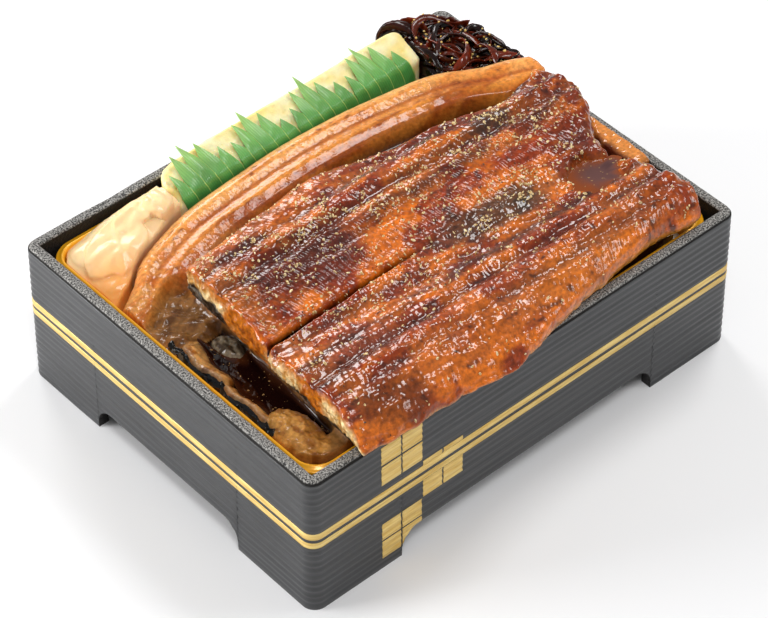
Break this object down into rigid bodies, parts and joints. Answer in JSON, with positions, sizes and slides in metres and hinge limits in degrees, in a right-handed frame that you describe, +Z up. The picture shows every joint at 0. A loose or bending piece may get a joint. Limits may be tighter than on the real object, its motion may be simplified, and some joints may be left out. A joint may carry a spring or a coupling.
{
  "type": "eel bento box",
  "caption": "Open black foam lunch box with a golden tray of grilled eel over rice, rolled egg, pickled ginger, simmered kelp and a green leaf divider.",
  "frame": {"origin": "on the surface that the box stands on, under the middle of the whole object, which lies 2.6 mm behind the middle of the box because the upper fillet hangs over the front long wall", "axes": "+X along the box's long side, from the eel's cut ends towards its far ends; +Y across the box, from the front long wall with the gold ornament towards the rolled egg; +Z up"},
  "size_m": [0.2018, 0.1621, 0.0793],
  "materials": {
    "black_foam": "black polystyrene foam with a finely ridged film in a wood grain, two gold stripes and a gold ornament of squares",
    "golden_plastic": "thin golden plastic, glossy",
    "cooked_rice": "white cooked rice",
    "pale_grilled_eel": "pale orange grilled eel with a thin wet glaze",
    "glazed_eel": "red-brown grilled eel under a glossy sauce glaze, dusted with ground pepper",
    "eel_sauce": "dark, clear, glossy soy sauce",
    "pickled_ginger": "translucent wet pickled ginger, cream to pale orange",
    "rolled_egg": "pale yellow rolled egg, soft, with small pits",
    "green_film": "thin green film printed as a leaf",
    "simmered_kelp": "dark brown, glossy simmered kelp strips with small yellow grains"
  },
  "bodies": {
    "root": {"box": "black_foam", "tray": "golden_plastic", "rice_bed": "cooked_rice", "lower_eel": "pale_grilled_eel", "upper_eel": "glazed_eel", "sauce_pool": "eel_sauce", "valley_sauce": "eel_sauce", "ginger": "pickled_ginger", "rolled_egg": "rolled_egg", "leaf_divider": "green_film", "simmered_kelp": "simmered_kelp"}
  },
  "joints": []
}
